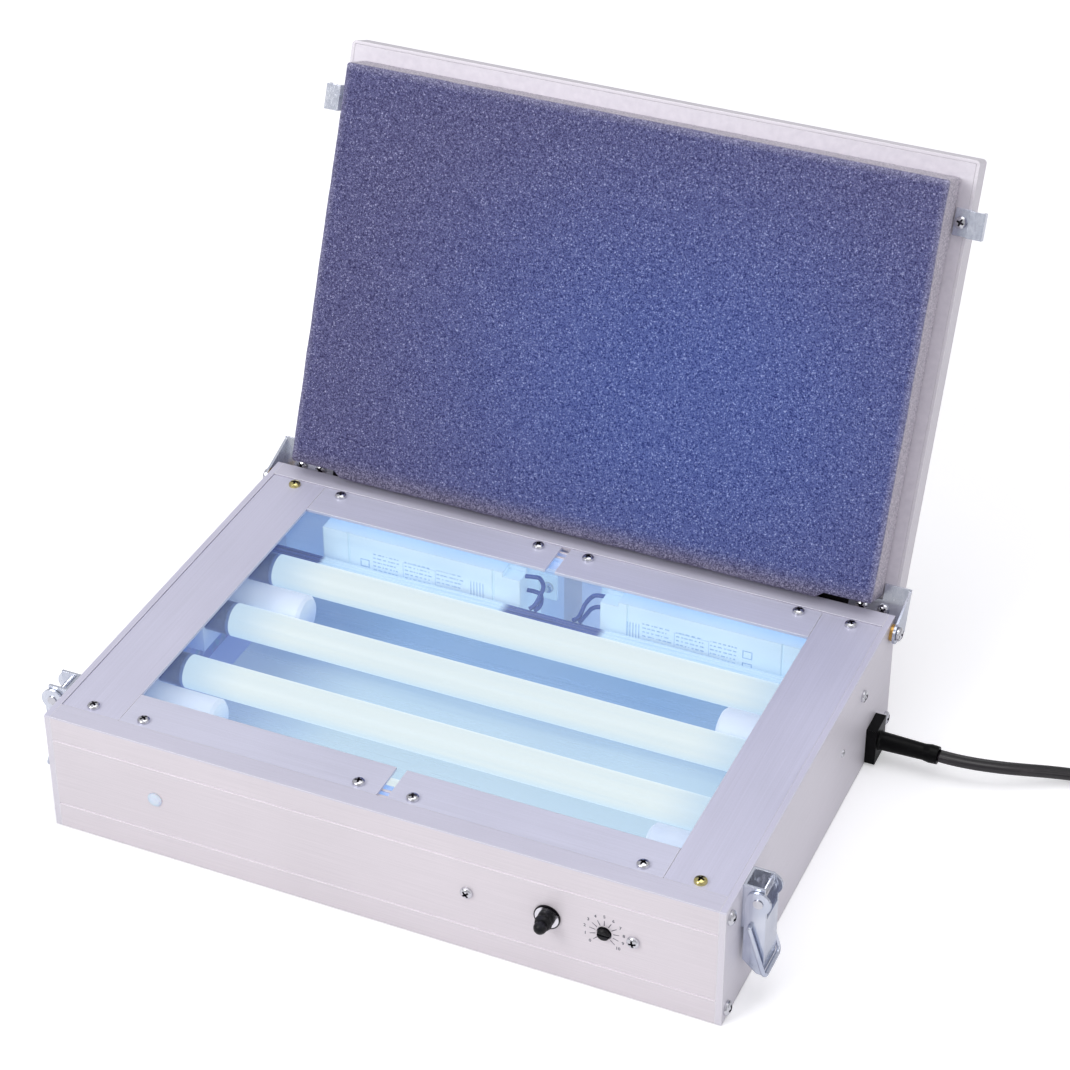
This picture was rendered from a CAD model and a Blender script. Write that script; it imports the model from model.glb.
import math

import bpy
import numpy as np
from mathutils import Matrix, Vector, noise


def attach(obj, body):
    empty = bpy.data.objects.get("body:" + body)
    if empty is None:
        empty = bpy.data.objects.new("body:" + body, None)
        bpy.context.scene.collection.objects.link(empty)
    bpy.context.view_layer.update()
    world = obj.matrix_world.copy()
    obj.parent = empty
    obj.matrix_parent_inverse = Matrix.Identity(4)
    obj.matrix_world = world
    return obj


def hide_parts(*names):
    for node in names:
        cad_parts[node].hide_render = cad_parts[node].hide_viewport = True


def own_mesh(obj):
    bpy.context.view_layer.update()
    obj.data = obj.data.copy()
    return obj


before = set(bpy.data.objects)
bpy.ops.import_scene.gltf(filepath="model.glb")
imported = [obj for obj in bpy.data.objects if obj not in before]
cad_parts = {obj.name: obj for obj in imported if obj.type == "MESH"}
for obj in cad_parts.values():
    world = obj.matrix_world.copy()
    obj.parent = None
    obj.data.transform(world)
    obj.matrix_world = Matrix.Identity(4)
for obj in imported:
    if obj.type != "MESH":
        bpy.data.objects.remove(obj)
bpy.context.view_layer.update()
scene = bpy.context.scene
scene.view_settings.view_transform = "Standard"
MM = 0.001


# ---------------------------------------------------------------------------------------
# Camera: a long lens above the right front corner, as the unit is photographed. The place
# and the turn come from matching the case, the lid and the screws to the picture.
def in_scene(name, data):
    """A new object in the scene, at the origin."""
    made = bpy.data.objects.new(name, data)
    scene.collection.objects.link(made)
    return made


camera = in_scene("camera", bpy.data.cameras.new("camera"))
scene.camera = camera
picture_width, film_width, focal_pixels = 1070, 36, 2944.25
camera.data.sensor_width = film_width
camera.data.lens = focal_pixels / picture_width * film_width
camera.data.shift_x = 5 / picture_width
camera.data.shift_y = -55 / picture_width
camera.data.clip_start, camera.data.clip_end = 0.05, 30
camera.rotation_mode = "QUATERNION"
camera.rotation_quaternion = (0.863623, 0.460033, 0.097793, 0.181552)
camera.location = (0.44693, -0.95297, 0.86864)


# ---------------------------------------------------------------------------------------
# Mains cord: two cores side by side in one sheath of glossy black PVC, 6.4 by 4.6 mm, with
# a groove between the cores. It comes out of the gland, comes down to the table and leaves
# the picture; what the picture doesn't show is coiled for storage, with the plug beside it.
def colour(red, green, blue, share=1.0):
    """A colour as a screen shows it, 0 to 255, in a shader's linear values, times a share."""
    return tuple(share * (c / 255 / 12.92 if c < 11 else ((c / 255 + 0.055) / 1.055) ** 2.4)
                 for c in (red, green, blue)) + (1.0,)


class Socket:
    """The output of a shader node, which can stand in a sum."""

    def __init__(self, shader, output):
        self.shader, self.output = shader, output

    def maths(self, operation, *values):
        return self.shader.node("Math", {"operation": operation}, dict(enumerate(values)))

    def __add__(self, other):
        return self.maths("ADD", self, other)

    def __sub__(self, other):
        return self.maths("SUBTRACT", self, other)

    def __rsub__(self, other):
        return self.maths("SUBTRACT", other, self)

    def __mul__(self, other):
        return self.maths("MULTIPLY", self, other)

    def __truediv__(self, other):
        return self.maths("DIVIDE", self, other)

    def __abs__(self):
        return self.maths("ABSOLUTE", self)

    __radd__ = __add__
    __rmul__ = __mul__

    def rise(self, low, high):
        """0 below low, 1 above high, and smooth in between."""
        return self.shader.node("MapRange", {"interpolation_type": "SMOOTHSTEP"},
                                {"Value": self, "From Min": low, "From Max": high})


class Shader:
    """A tree of shader nodes, for a material or for the room's light."""

    def __init__(self, tree):
        self.tree = tree

    def node(self, kind, settings=None, values=None, output=0):
        made = self.tree.nodes.new("ShaderNode" + kind)
        for setting, value in (settings or {}).items():
            if setting == "stops":
                stops = made.color_ramp.elements
                for n, (at, shade) in enumerate(value):
                    stop = stops[n] if n < 2 else stops.new(at)
                    stop.position, stop.color = at, shade
            else:
                setattr(made, setting, value)
        for name, value in (values or {}).items():
            self.give(made.inputs[name], value)
        return Socket(self, made.outputs[output])

    def give(self, target, value):
        if isinstance(value, Socket):
            self.tree.links.new(value.output, target)
        else:
            target.default_value = value

    def mix(self, share, first, second):
        return self.node("Mix", {"data_type": "RGBA"}, {0: share, 6: first, 7: second}, 2)

    def dot(self, first, second):
        return self.node("VectorMath", {"operation": "DOT_PRODUCT"}, {0: first, 1: second},
                         "Value")


class Finish(Shader):
    """A material: its shader's fixed values come first, then what changes over the surface."""

    def __init__(self, name, **fixed):
        self.material = bpy.data.materials.new(name)
        self.material.use_nodes = True
        super().__init__(self.material.node_tree)
        self.surface = self.tree.nodes["Principled BSDF"]
        for socket, value in fixed.items():
            self.set(socket, value)

    def set(self, socket, value):
        self.give(self.surface.inputs[socket.replace("_", " ")], value)

    def place(self, stretch=(1, 1, 1), shift=(0, 0, 0)):
        """The point on the piece in metres, with each axis stretched and then shifted."""
        return self.node("Mapping", {}, {"Vector": self.node("TexCoord", output="Object"),
                                         "Location": shift, "Scale": stretch})

    def along(self, axis):
        return self.node("SeparateXYZ", {}, {0: self.node("TexCoord", output="Object")}, axis)

    def toward(self, direction):
        """How far the point lies in a direction from the frame's origin, in metres."""
        return self.dot(self.node("TexCoord", output="Object"), direction)

    def away(self, stretch, shift):
        """How far the point lies from the origin once it is stretched and then shifted."""
        return self.node("VectorMath", {"operation": "LENGTH"},
                         {0: self.place(stretch, shift)}, "Value")

    def grain(self, scale, detail=2.0, stretch=(1, 1, 1)):
        """Noise around 0, mostly between -0.2 and 0.2, with scale features a metre."""
        return self.node("TexNoise", {}, {"Vector": self.place(stretch), "Scale": scale,
                                          "Detail": detail}) - 0.5

    def rounded(self, radius):
        """The direction of the surface, as if its edges were rounded to that radius."""
        return self.node("Bevel", {"samples": 4}, {"Radius": radius})

    def relief(self, height, depth, rounding=0.0):
        """Bumps of that depth in metres, on edges that look rounded to that radius."""
        values = {"Height": height, "Distance": depth, "Strength": 1.0}
        if rounding:
            values["Normal"] = self.rounded(rounding)
        self.set("Normal", self.node("Bump", {}, values))


def piece(name, points, faces, finish, body="case", smooth=True):
    """A new mesh in the frame that rides on a body."""
    mesh = bpy.data.meshes.new(name)
    mesh.from_pydata([tuple(p) for p in points], [], [tuple(f) for f in faces])
    mesh.materials.append(finish.material)
    mesh.polygons.foreach_set("use_smooth", [smooth] * len(mesh.polygons))
    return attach(in_scene(name, mesh), body)


def eased(points, steps):
    """Points on a smooth curve through the given points."""
    p = np.array([points[0], *points, points[-1]], float)
    found = []
    for a, b, c, d in zip(p[:-3], p[1:-2], p[2:-1], p[3:]):
        for t in np.arange(steps) / steps:
            found.append(0.5 * (2 * b + (c - a) * t + (2 * a - 5 * b + 4 * c - d) * t**2
                                + (3 * b - a - 3 * c + d) * t**3))
    return np.array([*found, p[-1]])


def tube_faces(rings, around):
    """Faces of a closed tube whose points come ring after ring."""
    sides = [(i * around + j, i * around + (j + 1) % around,
              (i + 1) * around + (j + 1) % around, (i + 1) * around + j)
             for i in range(rings - 1) for j in range(around)]
    return sides + [tuple(range(around))[::-1],
                    tuple(range((rings - 1) * around, rings * around))]


def swept(path, section):
    """Points and faces of a closed section that runs level along a path."""
    tangent = np.gradient(path, axis=0)
    tangent /= np.linalg.norm(tangent, axis=1)[:, None]
    side = np.cross((0, 0, 1), tangent)
    side /= np.linalg.norm(side, axis=1)[:, None]
    over = np.cross(tangent, side)
    points = (path[:, None] + section[None, :, :1] * side[:, None]
              + section[None, :, 1:] * over[:, None]).reshape(-1, 3)
    return points, tube_faces(len(path), len(section))


def squarish(wave, power):
    """A cosine or sine that makes a section between an oval and a box."""
    return np.sign(wave) * np.abs(wave) ** power


cord_points = [(193, 83, 10.5), (200, 83, 10.5), (208, 83.8, 10.4), (216, 85.6, 10),
               (224, 88.4, 9.2), (232, 92, 8.1), (240, 96, 6.8), (248, 99.8, 5.4),
               (256, 103, 4.2), (265, 105.8, 3.2), (275, 107.8, 2.6), (285, 108.8, 2.3),
               (295, 109, 2.3), (305, 109, 2.3), (315, 109, 2.3), (321.6, 109, 2.3)]
cord_half_w, cord_half_h = 3.2, 2.3
coil_middle, coil_outer, coil_inner = (328.0, 61.3), 47.7, 27.0
coil_pitch, coil_turns, climb, upper_turns = 6.9, 3.0, 0.5, 2.75
layer, dip, points_a_turn = 5.1, 3.0, 40
plug_start = (coil_middle[0] + coil_inner + coil_pitch * upper_turns, 30.9, 6.85)
tail_step, tail_ease = 6, (0.0, 0.0, 0.5, 1.0)


def coil_point(turn):
    """The cord's centre after that many turns, in millimetres."""
    over = min(max((turn - coil_turns) / climb, 0), 1)
    radius = coil_outer - coil_pitch * min(turn, coil_turns)
    radius -= dip * math.sin(math.pi * over) ** 2
    radius += coil_pitch * max(turn - coil_turns - climb, 0)
    angle = math.radians(90 - 360 * turn)
    return (coil_middle[0] + radius * math.cos(angle), coil_middle[1] + radius * math.sin(angle),
            cord_half_h + layer * over * over * (3 - 2 * over))


all_turns = coil_turns + climb + upper_turns
turn_points = [coil_point(t) for t in np.arange(0, all_turns + 0.001, 1 / points_a_turn)]
upper_z = cord_half_h + layer
tail_points = [(plug_start[0], coil_middle[1] - tail_step * (n + 1),
                upper_z + (plug_start[2] - upper_z) * share)
               for n, share in enumerate(tail_ease)]
cord_path = np.vstack([eased(cord_points, 4), turn_points, tail_points, [plug_start]]) * MM
corners = np.radians(np.arange(0, 360, 22.5))
cord_section = np.stack([squarish(np.cos(corners), 0.8) * cord_half_w,
                         squarish(np.sin(corners), 0.7) * cord_half_h], 1) * MM

sheath = Finish("black_sheath", Roughness=0.34, Specular_IOR_Level=0.6)
across = sheath.node("Attribute", {"attribute_name": "across"}, output="Fac")
core_groove = abs(across).rise(0.02, 0.34)
scuffs = sheath.grain(260, 4).rise(0.03, 0.2)
sheath.set("Base Color", sheath.mix(core_groove, colour(8, 7, 9), sheath.mix(
    scuffs, colour(24, 19, 24), colour(40, 33, 39))))
sheath.set("Roughness", 0.3 + scuffs * 0.2)
sheath.relief(core_groove, 0.0005)

cord = piece("mains_cord", *swept(cord_path, cord_section), sheath)
marks = cord.data.attributes.new("across", "FLOAT", "POINT")
marks.data.foreach_set("value", np.tile(np.cos(corners), len(cord_path)).astype(np.float32))
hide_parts("power_cord", "cord_coil")


# ---------------------------------------------------------------------------------------
# Gland and plug: both are moulded in satin black PVC. The gland's flange sits on the right
# end plate and its sleeve guards the cord where it bends; the plug's pins are plated brass.
def dress(finish, *names):
    """Gives nodes that keep their solid shape their finish."""
    for name in names:
        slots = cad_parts[name].data.materials
        slots.clear()
        slots.append(finish.material)


moulded = Finish("moulded_black", Roughness=0.42, Specular_IOR_Level=0.12)
dusty = moulded.grain(90, 4).rise(0.0, 0.25)
moulded.set("Base Color", moulded.mix(dusty, colour(1, 1, 2), colour(7, 7, 9)))
moulded.set("Roughness", 0.3 + dusty * 0.16)
moulded.relief(moulded.grain(2600, 2), 0.00004, 0.0006)
dress(moulded, "cord_gland")

plug_black = Finish("plug_black_and_pins", Specular_IOR_Level=0.5)
pins = 1 - plug_black.along("Y").rise(-0.0153, -0.0151)
plug_black.set("Base Color", plug_black.mix(pins, colour(15, 14, 17), colour(214, 206, 190)))
plug_black.set("Metallic", pins)
plug_black.set("Roughness", 0.38 - pins * 0.16)
plug_black.relief(plug_black.grain(2200, 2), 0.00004, 0.0008)
dress(plug_black, "mains_plug")

# ---------------------------------------------------------------------------------------
# Case: two extruded walls and two flat end plates of aluminium, matt anodised in a pale,
# slightly pink grey, and a base sheet in mill finish. The walls show fine lines of drawing
# and two shallow grooves; the lamps light what is seen of the inner sides.
case_top, top_blend = 0.0614, 0.0002
groove_middle, groove_away = 0.031, 0.018
unlit = (0, 0, 0, 1)


def anodised(name, shade, stretch, top=None, depth=0.000012):
    """Matt anodised aluminium, its grain along the least stretched axis, its edges bright."""
    finish = Finish(name, Metallic=0.3, Roughness=0.44, Specular_IOR_Level=0.35)
    lines = finish.grain(1500, 3, stretch)
    cloud = finish.grain(11, 3)
    grit = finish.grain(3800, 1)
    share = 0.5 + lines * 0.8 + cloud * 0.9 + grit * 0.7
    metal = finish.mix(share, colour(*shade, 0.86), colour(*shade, 1.06))
    if top:
        at_top = finish.along("Z").rise(case_top - top_blend, case_top + top_blend)
        metal = finish.mix(at_top, metal, finish.mix(
            share, colour(*top, 0.88), colour(*top, 1.05)))
    edge = 1 - finish.dot(finish.node("NewGeometry", output="Normal"), finish.rounded(0.0007))
    finish.set("Base Color", finish.mix(edge.rise(0.004, 0.12) * 0.7, metal,
                                        colour(250, 248, 252)))
    finish.set("Roughness", 0.44 + lines * 0.2 + cloud * 0.15)
    finish.relief(lines + grit * 0.6, depth, 0.0005)
    return finish


wall_metal = anodised("anodised_wall", (228, 221, 226), (0.015, 1, 1), (212, 210, 226))
wall_x, wall_y = abs(wall_metal.along("X")), abs(wall_metal.along("Y"))
wall_z = wall_metal.along("Z")
grooves = 1 - abs(abs(wall_z - groove_middle) - groove_away).rise(0.0003, 0.00036)
outer_face = wall_y.rise(0.1089, 0.1092) * (
    1 - wall_z.rise(case_top - top_blend, case_top + top_blend))
inner_face = (1 - wall_y.rise(0.1078, 0.1082)) * (1 - wall_z.rise(0.0592, 0.0596))
under_strip_gap = ((1 - wall_x.rise(0.0046, 0.0048))
                   * (1 - wall_z.rise(case_top - top_blend, case_top))
                   * wall_y.rise(0.0964, 0.0966))
lamp_lit = wall_metal.mix(under_strip_gap, colour(96, 140, 190), unlit)
groove_tone = wall_metal.mix(grooves * outer_face, unlit, colour(116, 111, 118))
wall_metal.set("Emission Color", wall_metal.mix(inner_face, groove_tone, lamp_lit))
wall_metal.set("Emission Strength", 0.8)
dress(wall_metal, "front_panel", "rear_panel")

plate_metal = anodised("anodised_end_plate", (226, 222, 230), (1, 0.03, 1), (214, 212, 230))
dress(plate_metal, "left_end_plate", "right_end_plate")

sheet_metal = anodised("mill_sheet", (190, 190, 198), (0.03, 1, 1))
sheet_metal.set("Emission Color", sheet_metal.mix(
    sheet_metal.along("Z").rise(0.0012, 0.0014), unlit, colour(56, 88, 164)))
sheet_metal.set("Emission Strength", 0.7)
dress(sheet_metal, "base_plate")

# ---------------------------------------------------------------------------------------
# Top strips: six flat strips of brushed, lilac-grey anodised aluminium round the window.
# They lie in the walls' lips and hold the glass down, each on its own screws.
side_strip = anodised("brushed_side_strip", (213, 212, 231), (1, 0.012, 1), depth=0.00002)
dress(side_strip, "top_strip_left", "top_strip_right")
cross_strip = anodised("brushed_cross_strip", (215, 215, 233), (0.012, 1, 1), depth=0.00002)
dress(cross_strip, "top_strip_front_left", "top_strip_front_right", "top_strip_rear_left",
      "top_strip_rear_right")

# ---------------------------------------------------------------------------------------
# Reflector and lamp brackets: bright aluminium and zinc plated sheet under and beside the
# lamps, all blue with their light. The reflector is palest at the front and deeper towards
# the rear and its left end.
tray = Finish("lit_reflector", Metallic=0.5, Roughness=0.3, Emission_Strength=1.0)
streak = tray.grain(320, 3, (0.04, 1, 1))
left_end = 1 - tray.along("X").rise(-0.14, -0.06)
rearward = (tray.along("Y") + 0.09) / 0.17 + streak * 0.08
lamp_blue = tray.node("ValToRGB", {"stops": [
    (0.0, (0.7, 0.78, 0.68, 1)), (0.24, (0.64, 0.72, 0.65, 1)), (0.36, (0.36, 0.47, 0.5, 1)),
    (0.72, (0.36, 0.48, 0.52, 1)), (0.84, (0.16, 0.27, 0.42, 1)),
    (1.0, (0.14, 0.25, 0.4, 1))]}, {0: rearward})
tray.set("Base Color", tray.mix(rearward, colour(172, 184, 198), colour(96, 114, 146)))
tray.set("Emission Color", tray.mix(left_end * 0.7, lamp_blue, colour(60, 88, 140)))
tray.set("Roughness", 0.3 + streak * 0.3)
tray.relief(streak, 0.00002)
dress(tray, "reflector")

bracket = Finish("lit_zinc_sheet", Metallic=0.5, Roughness=0.4, Emission_Strength=0.35)
spangle = bracket.node("TexVoronoi", {}, {"Vector": bracket.place(), "Scale": 240.0}, "Color")
bracket.set("Base Color", bracket.mix(0.16, colour(116, 136, 186), spangle))
bracket.set("Emission Color", bracket.mix(bracket.along("Z").rise(0.005, 0.06),
                                          colour(40, 66, 130), colour(120, 160, 220)))
dress(bracket, "lamp_brackets")

# ---------------------------------------------------------------------------------------
# Lamps: four fluorescent tubes, 16 mm across, with aluminium caps on two pins. The powder
# inside glows almost white, a little bluer towards the ends and along the lower flanks.
tube_z, tube_r = 0.041, 0.008
glow = Finish("lamp_glow", Roughness=0.4, Emission_Strength=1.0,
              Base_Color=colour(50, 56, 60), Specular_IOR_Level=0.3)
flank = ((glow.along("Z") - tube_z) / tube_r * 0.5 + 0.5).rise(-0.1, 0.75)
tube_ends = abs(glow.along("X")).rise(0.098, 0.132)
band = glow.grain(420, 2, (0.02, 1, 1)) + glow.grain(7, 2, (1, 0.2, 0.2)) * 0.4
core = glow.mix(flank + band * 0.5, colour(186, 216, 238), colour(226, 237, 237))
glow.set("Emission Color", glow.mix(tube_ends * 0.6, core, colour(160, 198, 232)))
dress(glow, "lamp_tube_1", "lamp_tube_2", "lamp_tube_3", "lamp_tube_4")

cap = Finish("lamp_cap_aluminium", Metallic=0.6, Roughness=0.34, Emission_Strength=0.2,
             Emission_Color=colour(80, 100, 160))
cap_ring = abs(cap.along("X")).rise(0.1318, 0.1332)
worn = cap.grain(500, 3)
cap.set("Base Color", cap.mix(cap_ring + worn * 0.5, colour(128, 150, 198), colour(64, 74, 124)))
cap.relief(worn, 0.00004, 0.0004)
dress(cap, "lamp_end_caps")

# ---------------------------------------------------------------------------------------
# Lamp holders, starters and their sockets: white moulded plastic. A starter's can is bare
# here, without its maker's print, and all of them are bluer below, near the reflector.
white = Finish("white_plastic", Roughness=0.45, Emission_Strength=0.3)
raised = ((white.along("Z") - 0.024) / 0.022).rise(0, 1)
white.set("Base Color", white.mix(raised + white.grain(60, 3), colour(176, 192, 230),
                                  colour(226, 232, 243)))
white.set("Emission Color", white.mix(raised, colour(70, 96, 160), colour(150, 172, 204)))
white.relief(white.grain(900, 2), 0.00003, 0.0006)
dress(white, "lamp_holders", "starters", "starter_sockets")

# ---------------------------------------------------------------------------------------
# Ballasts: chokes in folded covers with pale lacquer. Their rating labels are faint frames
# and rules only, printed in grey-blue, with no words, and paled by the glare of the lamps.
cover = Finish("ballast_lacquer", Roughness=0.4, Emission_Strength=0.6)
cover_top = cover.along("Z").rise(0.044, 0.0505) * cover.along("Y").rise(0.084, 0.1)
runs = cover.grain(160, 2, (0.03, 1, 1))
cover.set("Base Color", cover.mix(cover.grain(25, 3) + 0.5 + runs, colour(186, 204, 222),
                                  colour(222, 232, 238)))
cover.set("Emission Color", cover.mix(cover_top * 0.7 + runs * 1.2, colour(156, 182, 192),
                                      colour(100, 132, 170)))
cover.relief(runs, 0.00002, 0.0008)
dress(cover, "ballast_left", "ballast_right")

faded_ink = Finish("faded_ink", Roughness=0.6, Emission_Strength=0.6)
rubbed = faded_ink.grain(900, 2) + 0.5
faded_ink.set("Base Color", faded_ink.mix(rubbed, colour(120, 146, 186), colour(176, 200, 224)))
faded_ink.set("Emission Color", faded_ink.mix(rubbed, colour(60, 92, 140),
                                              colour(150, 182, 208)))
label_y, left_label_x, right_label_x = 82.97, -105, 36
rule_h, row_pitch, rows, columns, column_w, column_pitch = 0.75, 2.3, 7, 3, 13, 17
draw = np.random.default_rng(7)
label_points, label_faces = [], []


def print_bar(x, z, width, height):
    """One printed bar on the ballasts' front, from its lower left corner, in millimetres."""
    base = len(label_points)
    label_points.extend((px * MM, label_y * MM, pz * MM) for px, pz in (
        (x, z), (x + width, z), (x + width, z + height), (x, z + height)))
    label_faces.append((base, base + 1, base + 2, base + 3))


def print_frame(x, z, width, height, line):
    """A printed frame: four bars round an empty place."""
    print_bar(x, z, width, line)
    print_bar(x, z + height - line, width, line)
    print_bar(x, z + line, line, height - 2 * line)
    print_bar(x + width - line, z + line, line, height - 2 * line)


for label_x, squares, stripes_x, stripe_pitch in (
        (left_label_x, ((3, 33),), 62, 1.6), (right_label_x, ((60, 37), (60, 30)), 2, 1.5)):
    for x, z in squares:
        print_frame(label_x + x, z, 5, 4.6, 0.6)
    for column in range(columns):
        start = label_x + 10 + column * column_pitch
        for row in range(rows):
            x = start
            while x < start + column_w:
                width = draw.uniform(0.5, 2.2)
                print_bar(x, 41.5 - row * row_pitch, width, rule_h)
                x += width + draw.uniform(0.3, 1.2)
    print_frame(label_x + 26, 24.5, 17.5, 17, 0.25)
    for n in range(5):
        print_bar(label_x + stripes_x + n * stripe_pitch, 27, 0.5, 14)
label = piece("ballast_label_print", label_points, label_faces, faded_ink, smooth=False)

# ---------------------------------------------------------------------------------------
# Wiring and control board: single wires in dark blue sheaths along the reflector's hem and
# from it to the ballasts, and the timer's board of lacquered laminate behind the front wall.
wire_sheath = Finish("blue_wire", Roughness=0.3, Specular_IOR_Level=0.4, Emission_Strength=0.5)
strands = wire_sheath.grain(500, 2, (0.1, 1, 1))
wire_x = wire_sheath.along("X")
glare = (wire_x.rise(-0.122, -0.119) * (1 - wire_x.rise(-0.026, -0.02))
         + wire_x.rise(0.025, 0.03)) * (1 - wire_sheath.along("Y").rise(0.0805, 0.0815))
wire_blue = wire_sheath.mix(strands + 0.5, colour(28, 42, 112), colour(70, 92, 168))
wire_sheath.set("Base Color", wire_sheath.mix(glare, wire_blue, colour(176, 196, 216)))
wire_sheath.set("Emission Color", wire_sheath.mix(glare, colour(20, 34, 96),
                                                  colour(176, 204, 222)))
wire_sheath.relief(strands, 0.00005)

wire_r, hem_y, hem_z = 1.1, 75.2, 33.65
wire_routes = [[(x, hem_y + 2.4 * k + 0.35 * math.sin(x * 0.06 + 2 * k), hem_z)
                for x in range(-148, 149, 8)] for k in range(3)]
wire_routes += [eased(route, 8) for route in (
    [(-18, 90, 46.4), (-13, 90, 47.2), (-9.6, 90, 47.2), (-7.2, 88.6, 44), (-8, 85.4, 39.5),
     (-9, 82.2, 36.8), (-10.5, 79.8, 36)],
    [(-18, 92, 37), (-12.5, 92, 37.2), (-9.5, 91, 36.8), (-7.6, 87, 36), (-7, 83, 35.8),
     (-7.6, 79.8, 36)],
    [(25.5, 90, 46.4), (21, 90, 46.2), (17.6, 90, 44.6), (14.6, 88.6, 40.4), (13.8, 85, 37),
     (13.4, 82, 36), (12, 79.6, 36)],
    [(25.5, 92, 38), (20, 92, 37.8), (17, 90.6, 36.8), (16, 86, 36), (15.6, 79.8, 36)])]


def worked_out(made):
    """The mesh of an object once its curve, text or modifier is worked out."""
    bpy.context.view_layer.update()
    return made.evaluated_get(bpy.context.evaluated_depsgraph_get()).to_mesh()


wire_points, wire_faces = [], []
for route in wire_routes:
    line = bpy.data.curves.new("wire", "CURVE")
    line.dimensions, line.bevel_depth, line.bevel_resolution = "3D", wire_r * MM, 3
    line.use_fill_caps = True
    spline = line.splines.new("POLY")
    spline.points.add(len(route) - 1)
    for spline_point, (x, y, z) in zip(spline.points, route):
        spline_point.co = (x * MM, y * MM, z * MM, 1)
    drawn = in_scene("wire", line)
    tube = worked_out(drawn)
    base = len(wire_points)
    wire_points += [tuple(v.co) for v in tube.vertices]
    wire_faces += [tuple(base + i for i in f.vertices) for f in tube.polygons]
    bpy.data.objects.remove(drawn)
wires = piece("blue_wires", wire_points, wire_faces, wire_sheath)
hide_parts("inner_wiring")

board = Finish("lacquered_board", Roughness=0.35)
tracks = board.node("TexBrick", {}, {
    "Vector": board.place(), "Scale": 160.0, "Color1": colour(36, 92, 58),
    "Color2": colour(28, 78, 48), "Mortar": colour(150, 140, 84), "Mortar Size": 0.03}, "Color")
board_back = board.along("Y").rise(-0.0972, -0.0968)
board.set("Base Color", board.mix(board_back, tracks, colour(40, 46, 60)))
board.relief(board.grain(900, 2), 0.00005, 0.0003)
dress(board, "timer_board")

dark = Finish("dark_moulding", Roughness=0.5)
dark.set("Base Color", dark.mix(dark.grain(120, 3) + 0.5, colour(34, 36, 42),
                                colour(58, 60, 68)))
dark.relief(dark.grain(1500, 2), 0.00003, 0.0004)
dress(dark, "timer_potentiometer", "switch_body")

# ---------------------------------------------------------------------------------------
# Glass: a 3 mm float glass pane on the walls' ledges, under the strips. It is clear, with
# a faint bluish veil where the lamps light its dust and smears.
pane = Finish("float_glass", Roughness=0.03, Specular_IOR_Level=0.6)
smear = pane.grain(16, 4, (1, 2, 1))
pane.set("Base Color", pane.mix(smear + 0.5, colour(186, 214, 240), colour(222, 236, 246)))
pane.set("Alpha", 0.1 + smear * 0.1)
pane.material.surface_render_method = "BLENDED"
dress(pane, "glass_pane")


# ---------------------------------------------------------------------------------------
# Screws: bright plated pan heads with a cross recess, in five groups: the strips', the end
# plates', the control board's, the lid's, and the two on which the lid turns. Two of the
# strips' heads are yellow, and the end plates' group has two small rivets.
def lathed(profile, around):
    """Points and faces of a turned shape, from its profile of radius and height."""
    angles = np.radians(np.arange(0, 360, 360 / around))
    points = [(r * math.cos(a), r * math.sin(a), z) for r, z in profile for a in angles]
    return points, tube_faces(len(profile), around)


def cross_head(head_r, head_h, shank_r, length):
    """Points, faces and sunk faces of one screw: seat at z 0, head above, shank below."""
    rim = [(shank_r, -length), (shank_r, 0), (head_r, 0), (head_r, head_h * 0.35)]
    rim += [(head_r * math.cos(a), head_h * (0.35 + 0.65 * math.sin(a)))
            for a in np.radians((20, 38, 54, 68, 80))]
    arm, half = head_r * 0.68, head_r * 0.18
    plus = [(arm, -half), (arm, half), (half, half), (half, arm), (-half, arm), (-half, half),
            (-arm, half), (-arm, -half), (-half, -half), (-half, -arm), (half, -arm),
            (half, -half)]
    cross = [(x * s, y * s, z) for s, z in ((0.5, head_h * 0.15), (1.05, head_h * 1.2))
             for x, y in plus]
    made = []
    for name, (points, faces) in (("head", lathed(rim, 24)),
                                  ("recess", (cross, tube_faces(2, len(plus))))):
        mesh = bpy.data.meshes.new(name)
        mesh.from_pydata(points, [], faces)
        made.append(in_scene(name, mesh))
    cutting = made[0].modifiers.new("cut", "BOOLEAN")
    cutting.operation, cutting.object, cutting.solver = "DIFFERENCE", made[1], "EXACT"
    cut_mesh = worked_out(made[0])
    reach, tops = zip(*rim[:2:-1])
    sunk = []
    for face in cut_mesh.polygons:
        from_axis = math.hypot(*face.center[:2])
        dome = np.interp(from_axis, reach, tops)
        sunk.append(from_axis < arm * 1.05
                    and 0.1 * head_h < face.center[2] < dome - 0.06 * head_h)
    shape = ([tuple(v.co) for v in cut_mesh.vertices],
             [tuple(f.vertices) for f in cut_mesh.polygons], sunk)
    for cutter in made:
        bpy.data.objects.remove(cutter)
    return shape


def seat(x, y, z, direction, turn=0.0):
    """A place for a screw: where its seat lies, in millimetres, and where its head points."""
    facing = Vector(direction).to_track_quat("Z", "Y").to_matrix().to_4x4()
    return Matrix.Translation((x * MM, y * MM, z * MM)) @ facing @ Matrix.Rotation(turn, 4, "Z")


def plated(name, shade):
    """A bright plated finish, with a little tarnish."""
    finish = Finish(name, Metallic=1.0, Roughness=0.2)
    tarnish = finish.grain(700, 3)
    finish.set("Base Color", finish.mix(tarnish + 0.5, colour(*shade, 0.8), colour(*shade)))
    finish.set("Roughness", 0.2 + tarnish * 0.3)
    finish.relief(tarnish, 0.00001, 0.00015)
    return finish


bright = plated("bright_plated_screw", (222, 222, 228))
brassy = plated("yellow_plated_screw", (216, 204, 140))
shadowed = plated("shadowed_recess", (84, 80, 92))
bright_slot, brassy_slot, shadowed_slot = range(3)


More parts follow.
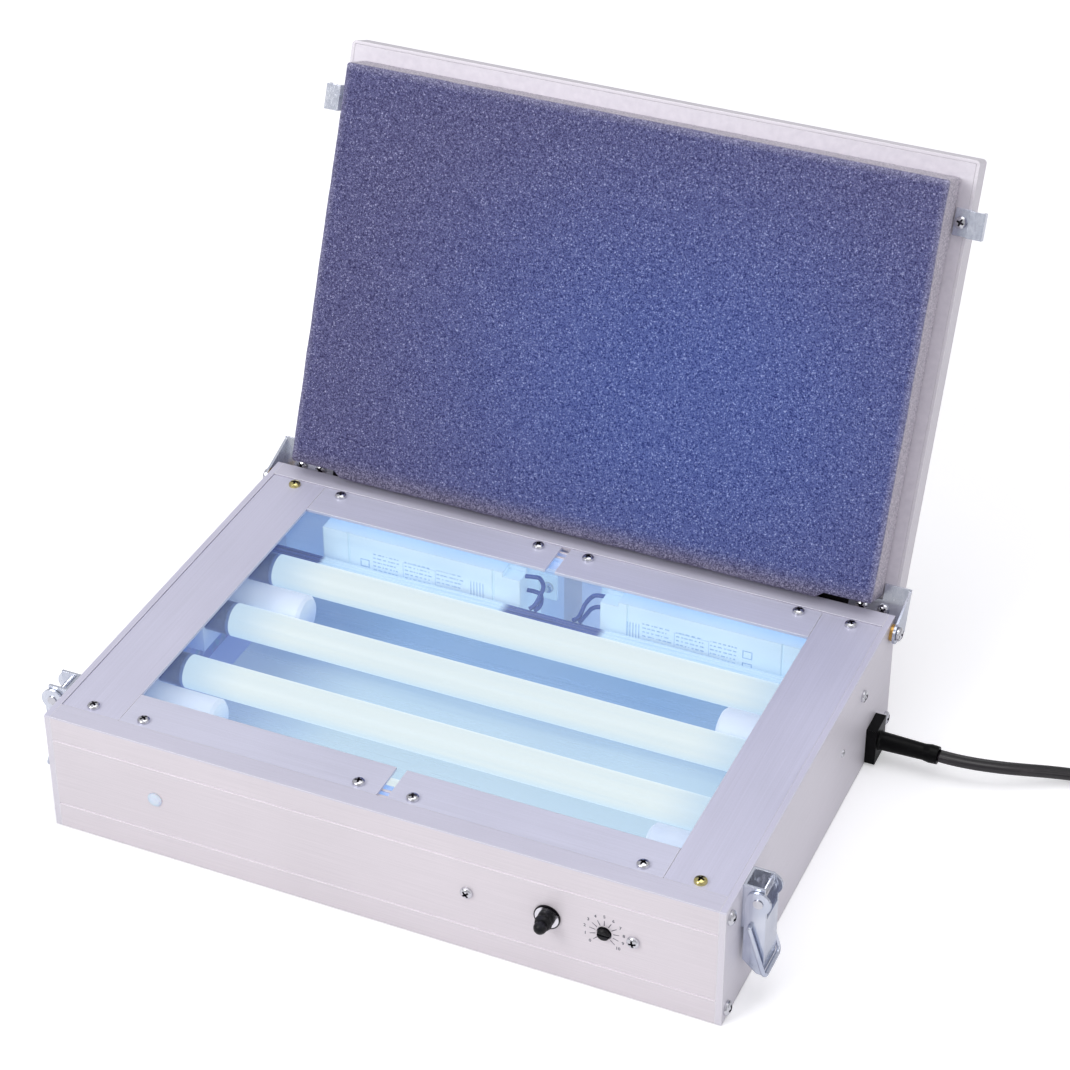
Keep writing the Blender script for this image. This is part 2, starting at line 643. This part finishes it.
def screws(name, groups, stands_for, body="case"):
    """Heads at their places as one piece: each group is a shape, its places and its finish."""
    points, faces, finishes = [], [], []
    for (shape_points, shape_faces, sunk), places, finish in groups:
        for place in places:
            faces += [tuple(len(points) + i for i in face) for face in shape_faces]
            points += [tuple(place @ Vector(p)) for p in shape_points]
            finishes += [shadowed_slot if low else finish for low in sunk]
    made = piece(name, points, faces, bright, body, smooth=False)
    made.data.materials.append(brassy.material)
    made.data.materials.append(shadowed.material)
    made.data.polygons.foreach_set("material_index", finishes)
    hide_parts(stands_for)


m3_head = cross_head(2.9 * MM, 2.1 * MM, 1.25 * MM, 3 * MM)
m4_head = cross_head(3.4 * MM, 2.4 * MM, 1.6 * MM, 6 * MM)
rivet_points, rivet_faces = lathed([(r * MM, z * MM) for r, z in (
    (1.0, -4), (1.0, 0), (1.9, 0), (1.8, 0.35), (1.3, 0.6), (0.5, 0.7))], 12)
rivet = (rivet_points, rivet_faces, [False] * len(rivet_faces))
both_ends, end_x, front_y, control_z = (-1, 1), 160, -110, 32
hinge_x, hinge_y, hinge_z, lid_turn = 163.2, 105, 56, -112.5

strip_places = [seat(x, y, 61.5, (0, 0, 1), 0.5 * x + y) for y in (-95.5, 95.5)
                for x in (-143.3, -118, -12.8, 12.8, 118, 143.3)]
yellow = slice(5, 7)
screws("strip_screw_heads", [
    (m3_head, strip_places[:yellow.start] + strip_places[yellow.stop:], bright_slot),
    (m3_head, strip_places[yellow], brassy_slot)], "strip_screws")
screws("end_plate_screw_heads", [
    (m4_head, [seat(end_x * s, y, z, (s, 0, 0), y + z) for s in both_ends
               for y, z in ((-105, 56), (-105, 6), (105, 6))], bright_slot),
    (m3_head, [seat(end_x * s, 66, 47, (s, 0, 0), 0.4) for s in both_ends], bright_slot),
    (rivet, [seat(end_x * s, 40, 33, (s, 0, 0)) for s in both_ends], bright_slot)],
    "end_plate_screws")
screws("control_screw_heads", [
    (m3_head, [seat(x, front_y, control_z, (0, -1, 0), turn)
               for x, turn in ((44.3, 0.7), (120.1, 0.2))], bright_slot)], "control_screws")
screws("hinge_screw_heads", [
    (m4_head, [seat(hinge_x * s, hinge_y, hinge_z, (s, 0, 0), 0.9) for s in both_ends],
     bright_slot)], "hinge_screws")
lid_frame = (Matrix.Translation((0, hinge_y * MM, hinge_z * MM))
             @ Matrix.Rotation(math.radians(lid_turn), 4, "X"))
screws("lid_screw_heads", [
    (m3_head, [lid_frame @ seat(s * x, y, 12.8, (0, 0, -1), x) for s in both_ends
               for x, y in ((141, -6), (151.5, -6), (153.6, -189.5))], bright_slot)],
    "lid_screws", "lid")
dress(bright, "base_screws", "ballast_screws", "latch_rivets")

# ---------------------------------------------------------------------------------------
# Start switch: a toggle with a nickel ring nut and a black rubber boot over its lever. The
# timer is a bare black spindle with a printed scale of plain numbers; the pilot lamp's
# milky lens shows as a faint pale spot.
rubber = Finish("boot_rubber", Roughness=0.5, Specular_IOR_Level=0.25)
bloom = rubber.grain(300, 4).rise(0.02, 0.2)
rubber.set("Base Color", rubber.mix(bloom, colour(7, 7, 12), colour(24, 24, 34)))
rubber.set("Roughness", 0.36 + bloom * 0.2)
rubber.relief(rubber.grain(2400, 2), 0.00005, 0.0003)
dress(rubber, "switch_boot", "switch_lever", "timer_spindle")

switch_x, timer_x, nut_shade = 81.4, 107, (232, 230, 236)
nickel = plated("nickel_nut", nut_shade)
from_switch = nickel.away((1, 0, 1), (-switch_x * MM, 0, -control_z * MM))
nut_edges = from_switch.rise(0.0053, 0.0056) + (1 - from_switch.rise(0.0036, 0.0039))
nickel.set("Base Color", nickel.mix(nut_edges, colour(*nut_shade), colour(28, 26, 32)))
dress(nickel, "switch_ring_nut")

lens = Finish("milky_lens", Roughness=0.3, Subsurface_Weight=0.4)
lens.set("Base Color", lens.mix(lens.grain(300, 2) + 0.5, colour(220, 220, 234),
                                colour(238, 238, 248)))
dress(lens, "pilot_lamp")

ink = Finish("grey_print", Roughness=0.6)
ink.set("Base Color", ink.mix(ink.grain(1500, 2) + 0.5, colour(56, 56, 70), colour(96, 96, 110)))
tick_in, tick_out, number_r, number_h, print_proud = 4.1, 6.8, 8.9, 2.2, 0.03
first_angle, tick_angle = 135, 27
scale_points, scale_faces = [], []


def print_shape(points, faces):
    """Adds a flat shape, drawn about the spindle in millimetres, to the scale on the front."""
    base = len(scale_points)
    scale_points.extend((timer_x * MM + x * MM, (front_y - print_proud) * MM,
                         control_z * MM + y * MM) for x, y in points)
    scale_faces.extend(tuple(base + i for i in f) for f in faces)


for n in range(11):
    angle = math.radians(first_angle - tick_angle * n)
    out = Vector((math.sin(-angle), math.cos(-angle)))
    side = Vector((math.cos(angle), math.sin(angle)))
    print_shape([out * tick_in - side * 0.2, out * tick_in + side * 0.2,
                 out * tick_out + side * 0.14, out * tick_out - side * 0.14], [(0, 1, 2, 3)])
    digits = bpy.data.curves.new(f"number_{n}", "FONT")
    digits.body, digits.size, digits.offset, digits.resolution_u = str(n), number_h, 0.05, 3
    digits.align_x, digits.align_y = "CENTER", "CENTER"
    number = in_scene(f"number_{n}", digits)
    flat = worked_out(number)
    print_shape([out * number_r + v.co.xy for v in flat.vertices],
                [tuple(p.vertices) for p in flat.polygons])
    bpy.data.objects.remove(number)
scale = piece("timer_scale_print", scale_points, scale_faces, ink, smooth=False)

# ---------------------------------------------------------------------------------------
# Latches, catches and hinge brackets: bent from 1.2 mm steel and bright zinc plated, with a
# bluish cast. A latch is riveted to each end plate, and its wire bail hooks the lid's catch.
zinc = Finish("bright_zinc", Metallic=0.85, Roughness=0.2)
film = zinc.grain(45, 3)
scratches = zinc.grain(1200, 3, (1, 1, 0.08))
zinc.set("Base Color", zinc.mix((film * 1.6 + 0.5) + scratches * 0.4, colour(176, 184, 206),
                                colour(240, 243, 250)))
zinc.set("Roughness", 0.2 + scratches * 0.25 + film * 0.1)
zinc.relief(scratches, 0.00001, 0.0003)
dress(zinc, "latch_base_left", "latch_base_right", "latch_lever_left", "latch_lever_right",
      "latch_bail_left", "latch_bail_right", "catch_left", "catch_right",
      "hinge_bracket_left", "hinge_bracket_right")

# ---------------------------------------------------------------------------------------
# Lid: a folded pan of pale anodised aluminium, closed by a liner sheet that carries the
# foam, the catches and the hinge brackets. Brass washers keep its ears off the end plates.
lid_metal = anodised("anodised_lid", (226, 221, 228), (0.02, 1, 1))
dress(lid_metal, "lid_panel")

up_the_lid, out_of_lid = (0, 0.38268, 0.92388), (0, -0.92388, 0.38268)
liner_metal = anodised("anodised_liner", (226, 221, 228), (0.02, 1, 1))
below_foam = ((1 - liner_metal.toward(up_the_lid).rise(0.1016, 0.104))
              * (1 - abs(liner_metal.along("X")).rise(0.1495, 0.151)))
grime = liner_metal.grain(300, 3)
liner_metal.set("Base Color", liner_metal.mix(below_foam, liner_metal.mix(
    grime + 0.5, colour(208, 203, 212), colour(230, 225, 232)), colour(14, 12, 18)))
dress(liner_metal, "lid_liner")

washer = Finish("turned_brass", Metallic=1.0, Roughness=0.28)
turned = washer.grain(1800, 2, (0.1, 1, 1))
washer.set("Base Color", washer.mix(turned + 0.5, colour(176, 130, 66), colour(222, 184, 112)))
washer.relief(turned, 0.00001, 0.0002)
dress(washer, "hinge_washers")

# ---------------------------------------------------------------------------------------
# Foam pad: a 20 mm slab of open-cell polyurethane foam, glued to the liner, that presses
# the film and the screen to the glass. It is blue-violet with pale cell walls and dark
# pores, bluest where the lamps shine on it, and its cut sides are greyer.
slab_half, slab_middle = np.array((150.0, 99.0, 10.0)), Vector((0, -110.5, 4))
edge_r, glued_z, feet_apart, longer_by = 1.8, 9, 124, 3.0
edge_steps, edge_band = np.array((0, 0.35, 0.8, 1.4, 2.2)), 4


def cuts(size, count):
    """Positions across the slab, close together at its edges."""
    middle = np.linspace(-size + edge_band, size - edge_band, count)
    return np.concatenate([-size + edge_steps, middle, (size - edge_steps)[::-1]])


grid = [cuts(slab_half[0], 76), cuts(slab_half[1], 50), cuts(slab_half[2], 4)]
slab, slab_faces, known = [], [], {}


def corner(point):
    """The number of a slab point, rounded at the edges and a little uneven all over.

    Between the brackets' feet the lower end is longer."""
    key = tuple(np.round(point, 3))
    if key not in known:
        core = np.clip(point, -(slab_half - edge_r), slab_half - edge_r)
        out = point - core
        if np.linalg.norm(out) > 1e-6:
            point = core + out / np.linalg.norm(out) * edge_r
            out = out / np.linalg.norm(out)
        cell = (noise.noise(Vector(point) * 0.9) * 0.16
                + noise.noise(Vector(point) * 0.045) * 0.3)
        known[key] = len(slab)
        longer = longer_by * np.clip((point[1] - 90) / 9, 0, 1) * (abs(point[0]) < feet_apart)
        slab.append(point + out * (cell - 0.3) * (point[2] < glued_z)
                    + np.array((0, longer, 0)))
    return known[key]


for axis in range(3):
    one, two = (axis + 1) % 3, (axis + 2) % 3
    for end in (-1, 1):
        for i in range(len(grid[one]) - 1):
            for j in range(len(grid[two]) - 1):
                quad = []
                for a, b in ((0, 0), (1, 0), (1, 1), (0, 1))[::end]:
                    point = np.zeros(3)
                    point[axis] = end * slab_half[axis]
                    point[one], point[two] = grid[one][i + a], grid[two][j + b]
                    quad.append(corner(point))
                slab_faces.append(quad)
foam_points = [lid_frame @ ((Vector(p) + slab_middle) * MM) for p in slab]

foam = Finish("open_cell_foam", Roughness=0.95, Specular_IOR_Level=0.08)
cells = foam.grain(1900, 2) * 1.5 + foam.grain(900, 1) * 0.5
glints = foam.node("TexVoronoi", {"feature": "F1"}, {"Vector": foam.place(), "Scale": 760.0},
                   "Distance")
speck = cells + (0.36 - glints) * 0.3
pore = speck.rise(-0.3, 0.3)
height_on_lid = foam.toward(up_the_lid)
bluest = 1 - foam.away((5.2, 0.0, 7.0), (-0.25, 0, -0.94)).rise(0.1, 1.05)
tone = foam.mix(bluest, colour(106, 106, 150), colour(98, 113, 178))
pale = foam.mix(bluest, colour(196, 196, 232), colour(192, 206, 248))
deep = foam.mix(bluest, colour(62, 60, 98), colour(52, 62, 122))
face_shade = foam.mix(speck.rise(0.06, 0.42), foam.mix(speck.rise(-0.34, 0.03), deep, tone),
                      pale)
shoulder = (abs(foam.along("X")).rise(0.1455, 0.1495)
            + height_on_lid.rise(0.2965, 0.3005)) * 0.6
face_shade = foam.mix(shoulder, face_shade, foam.mix(pore, colour(120, 118, 150),
                                                     colour(190, 188, 216)))
side_shade = foam.mix(pore, colour(182, 176, 190), colour(238, 231, 240))
on_face = foam.toward(out_of_lid).rise(-0.0718, -0.0702)
foot_shade = foam.mix(pore, colour(86, 82, 106), colour(160, 154, 178))
above_foot = height_on_lid.rise(0.1004, 0.113)
foam.set("Base Color", foam.mix(above_foot, foot_shade,
                                foam.mix(on_face, side_shade, face_shade)))
foam.relief(speck, 0.0007)
pad = piece("foam_slab", foam_points, slab_faces, foam, "lid")
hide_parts("foam_pad")
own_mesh(pad)

# ---------------------------------------------------------------------------------------
# Studio: a white sweep and large soft lamps. The floor and the room are white to the
# camera, and dimmer as lights and in reflections.
paper = Finish("white_paper", Roughness=0.9, Specular_IOR_Level=0.1, Emission_Strength=0.32)
paper.set("Base Color", paper.mix(paper.grain(4, 2) + 0.5, colour(238, 238, 240),
                                  colour(244, 244, 246)))
seen = paper.node("LightPath", output="Is Camera Ray")
paper.set("Emission Color", paper.mix(seen, unlit, (1, 1, 1, 1)))
floor_half, floor_z = 4, -0.0004
floor = piece("studio_floor", [(floor_half * x, floor_half * y, floor_z) for x, y in (
    (-1, -1), (1, -1), (1, 1), (-1, 1))], [(0, 1, 2, 3)], paper, smooth=False)

world = bpy.data.worlds.new("studio")
scene.world = world
world.use_nodes = True
room = Shader(world.node_tree)
upward = room.node("SeparateXYZ", {}, {0: room.node("TexCoord", output="Generated")}, "Z")
soft = room.node("ValToRGB", {"stops": [
    (0.0, (0.34, 0.34, 0.36, 1)), (0.35, (0.4, 0.4, 0.42, 1)), (1.0, (0.6, 0.6, 0.62, 1))]},
    {0: upward * 0.5 + 0.5})
room.give(world.node_tree.nodes["Background"].inputs["Color"], room.mix(
    room.node("LightPath", output="Is Camera Ray"), soft, (1, 1, 1, 1)))


def softbox(name, place, aim, size, watts):
    """A square lamp at a place, turned to what it aims at."""
    lamp = bpy.data.lights.new(name, "AREA")
    lamp.energy, lamp.size = watts, size
    made = in_scene(name, lamp)
    made.location = place
    made.rotation_mode = "QUATERNION"
    made.rotation_quaternion = (Vector(aim) - Vector(place)).to_track_quat("-Z", "Y")


softbox("key", (-0.9, -1.5, 1.5), (0, 0, 0.08), 1.0, 20)
softbox("top", (0.2, 0.1, 1.9), (0, 0, 0.05), 1.3, 9)
softbox("fill", (1.6, -0.5, 0.7), (0, 0, 0.08), 0.9, 3.5)
